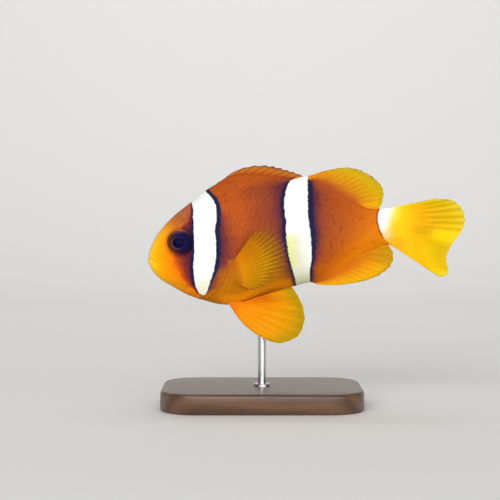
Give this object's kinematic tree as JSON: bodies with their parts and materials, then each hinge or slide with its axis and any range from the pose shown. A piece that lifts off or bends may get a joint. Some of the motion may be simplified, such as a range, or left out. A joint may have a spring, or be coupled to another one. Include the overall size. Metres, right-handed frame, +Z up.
{
  "type": "clownfish model on a display stand",
  "caption": "Life-size still model of a young yellow-tailed clownfish with white bars, swimming nose down, on a flat base with one rod.",
  "frame": {"origin": "centre of the underside of the display base", "axes": "+Z up, +X from the fish's snout towards its tail, so that the fish's left side faces -Y"},
  "size_m": [0.0783, 0.034, 0.0603],
  "materials": {
    "face_skin": "smooth wet skin, yellow at the snout to orange at the cheek",
    "flank_skin": "finely scaled skin, rust orange to maroon, with three white bars edged in navy",
    "white_skin": "finely scaled white skin",
    "orange_fin": "thin rayed fin, orange with a yellow rim",
    "gold_fin": "thin rayed fin, golden yellow",
    "eye": "glossy dark eye with a thin copper ring",
    "base_wood": "satin walnut",
    "rod_steel": "brushed"
  },
  "bodies": {
    "root": {"head": "face_skin", "lower_jaw": "face_skin", "gill_cover_left": "white_skin", "gill_cover_right": "white_skin", "eye_left": "eye", "eye_right": "eye", "trunk": "flank_skin", "tail_stalk": "white_skin", "tail_fin": "gold_fin", "dorsal_fin_spiny": "orange_fin", "dorsal_fin_soft": "orange_fin", "anal_fin": "orange_fin", "pectoral_fin_left": "gold_fin", "pectoral_fin_right": "gold_fin", "pelvic_fin_left": "gold_fin", "pelvic_fin_right": "gold_fin", "stand_base": "base_wood", "stand_rod": "rod_steel"}
  },
  "joints": []
}
